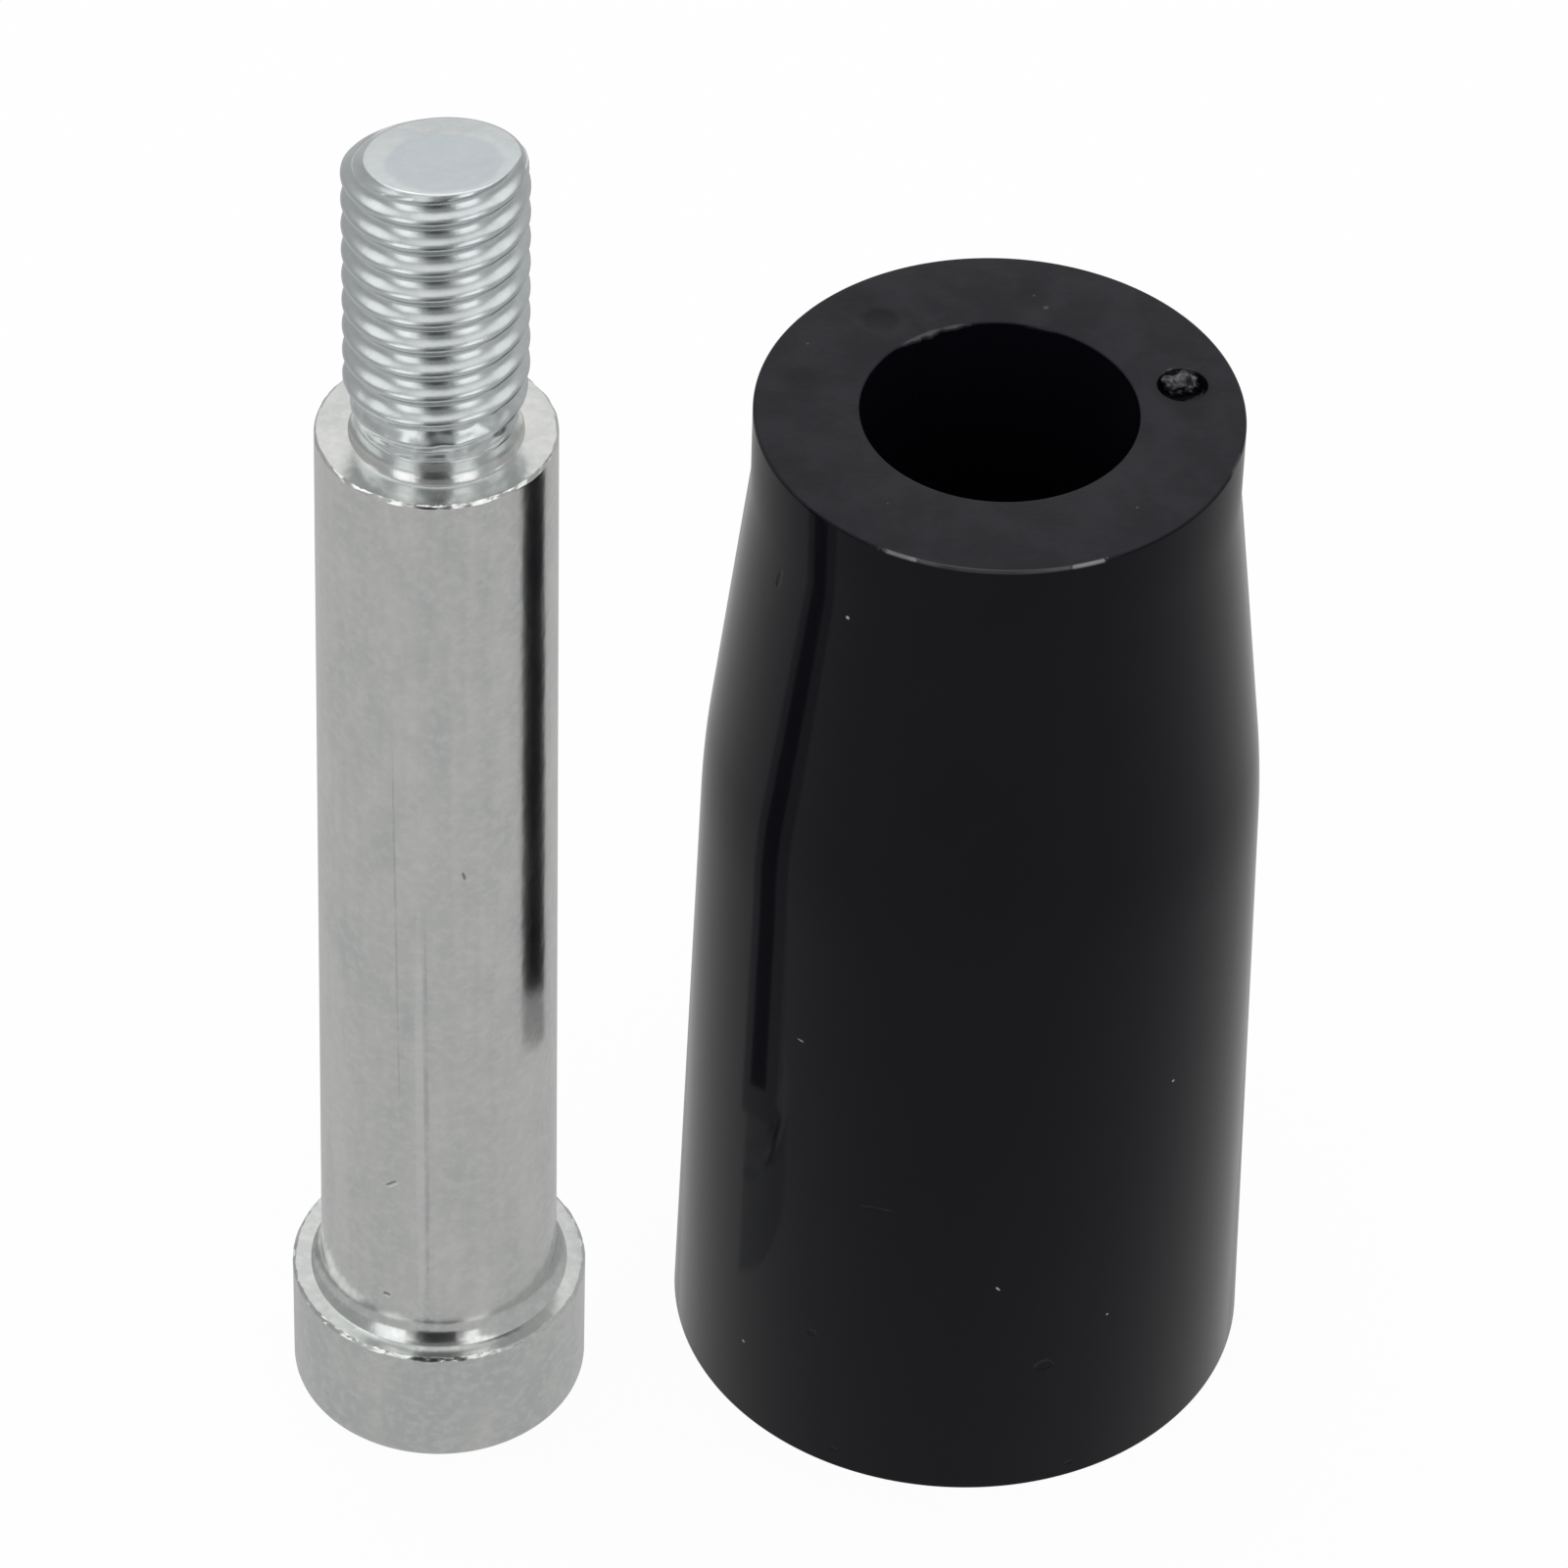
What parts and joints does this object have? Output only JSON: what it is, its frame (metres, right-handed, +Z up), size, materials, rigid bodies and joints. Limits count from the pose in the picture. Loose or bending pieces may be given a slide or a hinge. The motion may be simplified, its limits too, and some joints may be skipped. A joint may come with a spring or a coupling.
{
  "type": "revolving machine handle",
  "caption": "Revolving machine handle taken apart: a steel shoulder screw with a threaded end and a socket head, and the tapered moulded grip that turns on it.",
  "frame": {"origin": "on the table, at the middle of the space that the screw and the grip take up standing side by side", "axes": "+Z up along both pieces, from the screw's head to its thread and from the grip's wide end to its narrow end; +X from the screw's axis to the grip's axis"},
  "size_m": [0.0334, 0.0198, 0.0535],
  "materials": {
    "zinc_steel": "bright zinc plate over a cold-formed steel screw, slightly mottled, with handling nicks",
    "black_plastic": "black moulded plastic, semi-gloss outside and satin on the narrow end face"
  },
  "bodies": {
    "axle": {"axle_screw": "zinc_steel"},
    "grip": {"grip": "black_plastic"}
  },
  "joints": [
    {"name": "grip_spin", "type": "hinge", "parent": "axle", "child": "grip", "pos_m": [0.00683, 0, 0.02], "axis": [0, 0, 1], "continuous": true}
  ]
}
